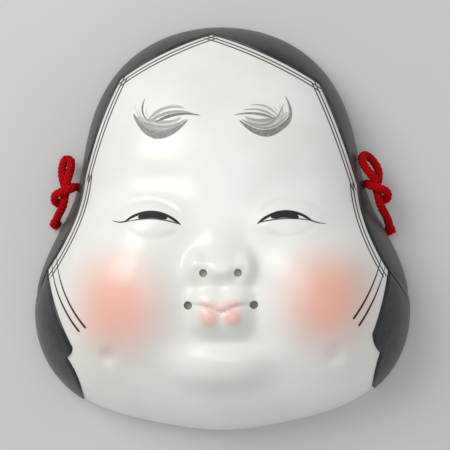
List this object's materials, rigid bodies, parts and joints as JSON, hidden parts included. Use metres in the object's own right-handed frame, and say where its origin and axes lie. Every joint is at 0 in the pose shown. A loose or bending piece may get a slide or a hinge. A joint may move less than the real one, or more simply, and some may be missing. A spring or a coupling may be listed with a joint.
{
  "type": "okame mask",
  "caption": "Smiling round-cheeked folk mask: a hollow moulded shell with raised hair and a red cord tied through the temples.",
  "frame": {"origin": "on the plane of the back rim, in the middle of the mask's outline", "axes": "+Z out of the face, +Y up the forehead, +X to the right of the face as it is looked at"},
  "size_m": [0.2015, 0.2168, 0.0796],
  "materials": {
    "glazed_shell": "glossy pearly white glaze with painted black hair",
    "red_cord": "matt braided cord"
  },
  "bodies": {
    "root": {"mask_shell": "glazed_shell", "hanging_cord": "red_cord"}
  },
  "joints": []
}
